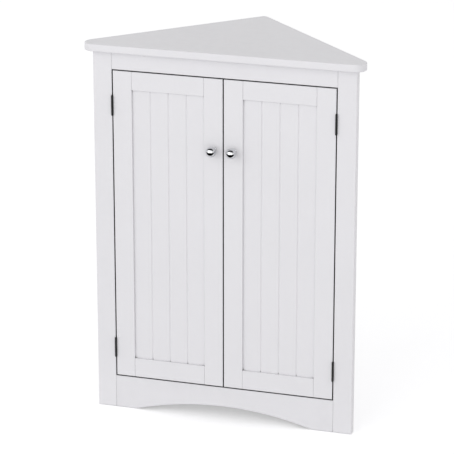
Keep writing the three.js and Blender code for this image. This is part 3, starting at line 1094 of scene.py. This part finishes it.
    def knob(self) -> None:
        """Turns the knob: screw bore, foot, waist and ball in one unbroken profile.

        The waist's radius runs from the foot's to the neck's as s^2 (3 - 2 s), and the ball's
        arc is (r sin a, centre + r cos a) from where it meets the waist to the front.
        """
        node = f"{self.side.value}_knob"
        low, high = span(node)
        reach = high[1] - low[1]
        centre = reach - self.knob_radius
        start = math.pi - math.asin(self.knob_neck_radius / self.knob_radius)
        angles = np.linspace(start, 0.0, self.knob_ball_rows)
        ball = self.knob_radius * np.stack([np.sin(angles), np.cos(angles)], axis=1) + (0.0, centre)
        share = np.linspace(0.0, 1.0, self.knob_waist_rows + 2)[1:-1]
        smooth = share * share * (3 - 2 * share)
        foot_top = self.knob_base_height
        rest = self.knob_base_radius - self.knob_base_rounding
        waist_radius = rest + (self.knob_neck_radius - rest) * smooth
        waist = np.stack([waist_radius, foot_top + (ball[0, 1] - foot_top) * share], axis=1)
        halfway = self.knob_base_radius - self.knob_base_rounding / 2
        foot = np.array([
            (0.0, self.knob_bore_depth),
            (self.knob_bore_radius, self.knob_bore_depth),
            (self.knob_bore_radius, 0.0),
            (self.knob_base_radius, 0.0),
            (self.knob_base_radius, foot_top * self.knob_base_side_share),
            (halfway, foot_top * self.knob_base_turn_share),
            (rest, foot_top),
        ])
        profile = np.concatenate([foot, waist, ball[:-1], [(0.0, reach)]])
        origin = middle_at(node, high[1])
        surface = turned_surface(profile, origin, FORWARD, self.knob_sides)
        self.shop.piece(f"{node}_turned", [surface], CHROME, self.body, [node])

    def knob_screw(self) -> None:
        """Drives the screw that holds the knob through the meeting stile from behind."""
        node = f"{self.side.value}_knob_screw"
        _, stile_high = span(self.node(Member.MEETING_STILE))
        seat = middle_at(node, stile_high[1])
        PAN_HEAD.drive(self.shop, node, seat, FORWARD, ZINC, self.body)

    def strike_plate(self) -> None:
        """Makes the thin steel plate that the catch holds, with the screw that holds it."""
        node = f"{self.side.value}_strike_plate"
        low, high = span(node)
        plate = block(low, high, self.plate_ease, Axis.Y)
        screw = COUNTERSUNK.surface(middle_at(node, high[1]), FORWARD)
        self.shop.piece(f"{node}_eased", [plate, screw], ZINC, self.body, [node])

    def build(self) -> None:
        """Makes the door's wood, then its metal."""
        for member in Member:
            self.grooved_bar(member)
        self.panel()
        self.knob()
        self.strike_plate()
        self.knob_screw()


@dataclass
class Hinge:
    """One butt hinge: two leaves with round knuckles, a pin and four screws."""

    shop: Workshop
    side: Side
    level: Level
    knuckle_radius: float = 2.2 * MM
    bore_radius: float = 1.3 * MM
    knuckle_count: int = 3
    knuckle_spacing: float = 0.3 * MM
    knuckle_clearance: float = 0.4 * MM
    knuckle_sides: int = 48
    knuckle_ease: float = 0.25 * MM
    plate_corner: float = 1.2 * MM
    plate_corner_steps: int = 6
    plate_ease: float = 0.125 * MM
    plate_ease_steps: int = 2

    @property
    def name(self) -> str:
        """The start of the names of this hinge's nodes."""
        return f"{self.side.value}_{self.level.value}_hinge"

    def carrier(self, leaf: Leaf) -> tuple[str, str]:
        """Tells what holds a leaf.

        Args:
            leaf: the leaf asked about.

        Returns:
            The wooden node that the leaf lies on, and the moving body that it rides on.
        """
        if leaf is Leaf.FRAME:
            return f"{self.side.value}_post", CARCASS
        return f"{self.side.value}_door_hinge_stile", f"{self.side.value}_door"

    def plate_faces(self, leaf: Leaf) -> tuple[float, float]:
        """Gives the two faces of a leaf's plate.

        Args:
            leaf: the leaf asked about.

        Returns:
            The x of the screws' heads and the x of the wood.
        """
        screw_low, screw_high = span(f"{self.name}_{leaf.value}_top_screw")
        wood, _ = self.carrier(leaf)
        wood_low, wood_high = span(wood)
        driven_right = (self.side is Side.RIGHT) == (leaf is Leaf.FRAME)
        if driven_right:
            return screw_low[0], wood_low[0]
        return screw_high[0], wood_high[0]

    def knuckle(self, centre: np.ndarray, low: float, high: float) -> Surface:
        """Turns one tube-shaped knuckle whose section is a rectangle with eased corners.

        Args:
            centre: a point on the hinge's axis.
            low: where the knuckle starts.
            high: where it ends.

        Returns:
            The knuckle's surface.
        """
        corners = [
            (self.bore_radius, low),
            (self.knuckle_radius, low),
            (self.knuckle_radius, high),
            (self.bore_radius, high),
        ]
        section, _ = rounded_outline(corners, [self.knuckle_ease] * 4)
        origin = Vector((centre[0], centre[1], 0.0))
        return turned_surface(section, origin, UPWARD, self.knuckle_sides)

    def plate_and_knuckles(self, leaf: Leaf) -> None:
        """Makes one leaf: a comb-shaped plate whose tabs reach into its own knuckles.

        From the bottom up, the frame's leaf has the first knuckle and every second one after
        it, and the door's leaf has those between.

        Args:
            leaf: the leaf to make.
        """
        node = f"{self.name}_{leaf.value}_leaf"
        low, high = span(node)
        pin_low, pin_high = span(f"{self.name}_pin")
        centre = (pin_low + pin_high) / 2
        back = centre[1] + self.knuckle_radius + self.knuckle_clearance
        tab = centre[1] + self.bore_radius + self.knuckle_ease
        step = (high[2] - low[2]) / self.knuckle_count
        last = self.knuckle_count - 1
        surfaces: list[Surface] = []
        corners = [(high[1], high[2]), (high[1], low[2])]
        for number in range(self.knuckle_count):
            own = (number % 2 == 0) == (leaf is Leaf.FRAME)
            trim = self.knuckle_spacing / 2 * (1 if own else -1)
            below = low[2] + number * step + (trim if number > 0 else 0.0)
            above = low[2] + (number + 1) * step - (trim if number < last else 0.0)
            edge = tab if own else back
            corners += [(edge, below), (edge, above)]
            if own:
                surfaces.append(self.knuckle(centre, below, above))
        radii = [self.plate_corner] * 2 + [0.0] * (len(corners) - 2)
        outline = rounded_outline(corners, radii, self.plate_corner_steps)
        faces = sorted(self.plate_faces(leaf))
        plate = carried_board(outline, *faces, self.plate_ease, Axis.X, self.plate_ease_steps)
        surfaces.append(plate)
        _, body = self.carrier(leaf)
        self.shop.piece(f"{node}_rolled", surfaces, BLACK_STEEL, body, [node])

    def screws(self, leaf: Leaf) -> None:
        """Drives the two screws of one leaf.

        Args:
            leaf: the leaf that they hold.
        """
        head_face, wood_face = self.plate_faces(leaf)
        into = Vector((math.copysign(1.0, wood_face - head_face), 0.0, 0.0))
        _, body = self.carrier(leaf)
        for place in ("bottom", "top"):
            node = f"{self.name}_{leaf.value}_{place}_screw"
            low, high = span(node)
            seat = Vector((head_face, (low[1] + high[1]) / 2, (low[2] + high[2]) / 2))
            COUNTERSUNK.drive(self.shop, node, seat, into, BLACK_STEEL, body)

    def build(self) -> None:
        """Makes both leaves with their screws, and dresses the pin."""
        for leaf in Leaf:
            self.plate_and_knuckles(leaf)
            self.screws(leaf)
        self.shop.dress([f"{self.name}_pin"], BLACK_STEEL)


@dataclass
class Catch:
    """The magnetic catch behind the top rail."""

    shop: Workshop
    body: str = CARCASS
    ease: float = 0.8 * MM
    shoulder_rise: float = 2.0 * MM
    jaw_gap: float = 0.3 * MM
    pole_proud: float = 0.12 * MM
    pole_thickness: float = 1.4 * MM
    pole_ease: float = 0.06 * MM
    pole_rise_shares: tuple[float, float] = (0.16, 0.84)
    screw_inset: float = 9 * MM

    def pole_plates(self, jaw: float) -> None:
        """Sets two steel pole plates in the catch's jaw in front of each strike plate.

        Args:
            jaw: where the jaw's face lies.
        """
        surfaces = []
        half = self.pole_thickness / 2
        for side in Side:
            low, high = span(f"{side.value}_strike_plate")
            for share in self.pole_rise_shares:
                middle = low[2] + share * (high[2] - low[2])
                corner_low = np.array([low[0] + self.ease, jaw - self.pole_proud, middle - half])
                corner_high = np.array([high[0] - self.ease, jaw + self.ease, middle + half])
                surfaces.append(block(corner_low, corner_high, self.pole_ease, Axis.X))
        self.shop.piece("catch_pole_plates", surfaces, ZINC, self.body, [])

    def screws(self, low: np.ndarray, high: np.ndarray, shoulder: float) -> None:
        """Drives a screw through each end of the catch into the rail in front of it.

        Args:
            low: lowest corner of the catch.
            high: highest corner of it.
            shoulder: height of the shoulder under the part that lies on the rail.
        """
        height = (shoulder + high[2]) / 2
        surfaces = [
            PAN_HEAD.surface(Vector((across, high[1], height)), FORWARD)
            for across in (low[0] + self.screw_inset, high[0] - self.screw_inset)
        ]
        self.shop.piece("catch_screws", surfaces, ZINC, self.body, [])

    def build(self) -> None:
        """Carries the catch's L-shaped section across, then adds its plates and screws."""
        node = "magnetic_catch"
        low, high = span(node)
        rail_low, _ = span("top_rail")
        _, plate_high = span("left_strike_plate")
        shoulder = rail_low[2] + self.shoulder_rise
        jaw = plate_high[1] + self.jaw_gap
        section = [
            (jaw, low[2]), (high[1], low[2]), (high[1], high[2]),
            (low[1], high[2]), (low[1], shoulder), (jaw, shoulder),
        ]
        outline = rounded_outline(section, [self.ease, self.ease, self.ease, 0.0, 0.0, 0.0])
        surface = carried_board(outline, low[0], high[0], self.ease, Axis.X)
        self.shop.piece(f"{node}_moulded", [surface], CATCH_PLASTIC, self.body, [node])
        self.pole_plates(jaw)
        self.screws(low, high, shoulder)


def stage_sheet(
    name: str, low: Place, high: Place, material: bpy.types.Material
) -> bpy.types.Object:
    """Lays a flat level sheet that belongs to the studio and not to the cupboard.

    Args:
        name: the sheet's name.
        low: its lowest corner.
        high: its highest corner, at the same height.
        material: what it is made of.

    Returns:
        The new object.
    """
    mesh = bpy.data.meshes.new(name)
    corners = [low, (high[0], low[1], low[2]), high, (low[0], high[1], low[2])]
    mesh.from_pydata(corners, [], [(0, 1, 2, 3)])
    mesh.materials.append(material)
    sheet = bpy.data.objects.new(name, mesh)
    bpy.context.scene.collection.objects.link(sheet)
    return sheet


def background_rays(tree: bpy.types.NodeTree) -> Socket:
    """Adds a test for the rays that show a background: to the camera, mirrored or through glass.

    Args:
        tree: the nodes of a material or of the world.

    Returns:
        1 for those rays and 0 for all others.
    """
    rays = tree.nodes.new("ShaderNodeLightPath").outputs
    bent = calculate(tree, Operation.MAXIMUM, rays["Is Glossy Ray"], rays["Is Transmission Ray"])
    return calculate(tree, Operation.MAXIMUM, rays["Is Camera Ray"], bent)


@dataclass(frozen=True)
class Flag:
    """A flat black flag, which only polished metal and gloss show."""

    name: str
    low: Place
    high: Place

    def lay(self) -> None:
        """Lays the flag and hides it from every ray but a mirrored one."""
        material = bpy.data.materials.new(self.name)
        material.use_nodes = True
        shader = material.node_tree.nodes["Principled BSDF"]
        shader.inputs["Base Color"].default_value = BLACK
        shader.inputs["Specular IOR Level"].default_value = 0.0
        sheet = stage_sheet(self.name, self.low, self.high, material)
        for ray in ("camera", "diffuse", "transmission", "volume_scatter", "shadow"):
            setattr(sheet, f"visible_{ray}", False)


@dataclass(frozen=True)
class Lamp:
    """A square soft lamp, with its side in metres and its power in watts."""

    name: str
    place: Place
    size: float
    power: float

    def hang(self, aim: Place) -> None:
        """Hangs the lamp.

        Args:
            aim: the point that it looks at.
        """
        data = bpy.data.lights.new(self.name, "AREA")
        data.shape = "SQUARE"
        data.size = self.size
        data.energy = self.power
        lamp = bpy.data.objects.new(self.name, data)
        bpy.context.scene.collection.objects.link(lamp)
        lamp.location = self.place
        way = Vector(aim) - Vector(self.place)
        lamp.rotation_euler = way.to_track_quat("-Z", "Y").to_euler()


@dataclass(frozen=True)
class Studio:
    """Plain pale floor, soft light, black flags and the camera.

    The focal length and the frame's width are in the photograph's pixels, the azimuth and
    the elevation are in degrees, and the target's y counts from the face frame's front.
    """

    floor_size: float = 60.0
    floor_colour: Srgb = (236, 236, 237)
    floor_glow: float = 0.38
    sky_strength: float = 0.65
    focal_px: float = 2490.0
    frame_px: float = 454.0
    sensor: float = 36.0
    azimuth: float = 16.87
    elevation: float = 19.17
    distance: float = 5.109
    farthest_seen: float = 200.0
    target: Place = (0.0081, 0.0, 0.4296)
    lamp_aim: Place = (0.0, 0.0, 0.4)
    flags: tuple[Flag, ...] = (
        Flag("floor_flag", (-9.0, -9.0, 0.002), (9.0, -0.34, 0.002)),
        Flag("overhead_flag", (-3.6, -1.35, 2.6), (3.0, 0.2, 2.6)),
    )
    lamps: tuple[Lamp, ...] = (
        Lamp("key_lamp", (-2.0, -4.6, 2.1), size=5.0, power=92.0),
        Lamp("fill_lamp", (2.2, -4.2, 1.2), size=3.0, power=34.0),
        Lamp("back_lamp_left", (-4.4, 2.8, 1.6), size=3.0, power=26.0),
        Lamp("back_lamp_right", (4.4, 2.8, 1.6), size=3.0, power=26.0),
    )

    def camera(self) -> None:
        """Places the camera at the photograph's angle, aimed at a point on the face frame."""
        data = bpy.data.cameras.new("camera")
        data.sensor_width = self.sensor
        data.lens = self.focal_px / self.frame_px * self.sensor
        data.clip_end = self.farthest_seen
        camera = bpy.data.objects.new("camera", data)
        bpy.context.scene.collection.objects.link(camera)
        rail_low, _ = span("top_rail")
        aim = Vector((self.target[0], rail_low[1] + self.target[1], self.target[2]))
        turn, lift = math.radians(self.azimuth), math.radians(self.elevation)
        level = math.cos(lift)
        back = Vector((math.sin(turn) * level, -math.cos(turn) * level, math.sin(lift)))
        camera.location = aim + back * self.distance
        camera.rotation_euler = (-back).to_track_quat("-Z", "Y").to_euler()
        bpy.context.scene.camera = camera

    def floor(self) -> None:
        """Lays the floor: pale, lit by the lamps, and brighter where it is the background."""
        material = bpy.data.materials.new("studio_floor")
        material.use_nodes = True
        tree = material.node_tree
        tree.nodes.clear()
        diffuse = tree.nodes.new("ShaderNodeBsdfDiffuse")
        diffuse.inputs["Color"].default_value = linear(self.floor_colour)
        glow = tree.nodes.new("ShaderNodeEmission")
        strength = calculate(tree, Operation.MULTIPLY, background_rays(tree), self.floor_glow)
        both = tree.nodes.new("ShaderNodeAddShader")
        output = tree.nodes.new("ShaderNodeOutputMaterial")
        tree.links.new(strength, glow.inputs["Strength"])
        tree.links.new(diffuse.outputs["BSDF"], both.inputs[0])
        tree.links.new(glow.outputs["Emission"], both.inputs[1])
        tree.links.new(both.outputs["Shader"], output.inputs["Surface"])
        half = self.floor_size / 2
        stage_sheet("studio_floor", (-half, -half, 0.0), (half, half, 0.0), material)

    def sky(self) -> None:
        """Lights all round softly, and shows plain white where it is the background."""
        world = bpy.data.worlds.new("studio_sky")
        bpy.context.scene.world = world
        world.use_nodes = True
        tree = world.node_tree
        tree.nodes.clear()
        mix = tree.nodes.new("ShaderNodeMixShader")
        output = tree.nodes.new("ShaderNodeOutputWorld")
        tree.links.new(background_rays(tree), mix.inputs["Fac"])
        for place, strength in ((1, self.sky_strength), (2, 1.0)):
            light = tree.nodes.new("ShaderNodeBackground")
            light.inputs["Color"].default_value = WHITE
            light.inputs["Strength"].default_value = strength
            tree.links.new(light.outputs["Background"], mix.inputs[place])
        tree.links.new(mix.outputs["Shader"], output.inputs["Surface"])

    def build(self) -> None:
        """Sets up the camera, the floor, the sky, the flags and the lamps."""
        bpy.context.scene.view_settings.view_transform = "Standard"
        self.camera()
        self.floor()
        self.sky()
        for flag in self.flags:
            flag.lay()
        for lamp in self.lamps:
            lamp.hang(self.lamp_aim)


def main() -> None:
    """Builds the studio, then the cupboard's sub-assemblies in order."""
    Studio().build()
    shop = Workshop()
    Carcass(shop).build()
    for side in Side:
        Door(shop, side).build()
        for level in Level:
            Hinge(shop, side, level).build()
    Catch(shop).build()


if __name__ == "__main__":
    main()
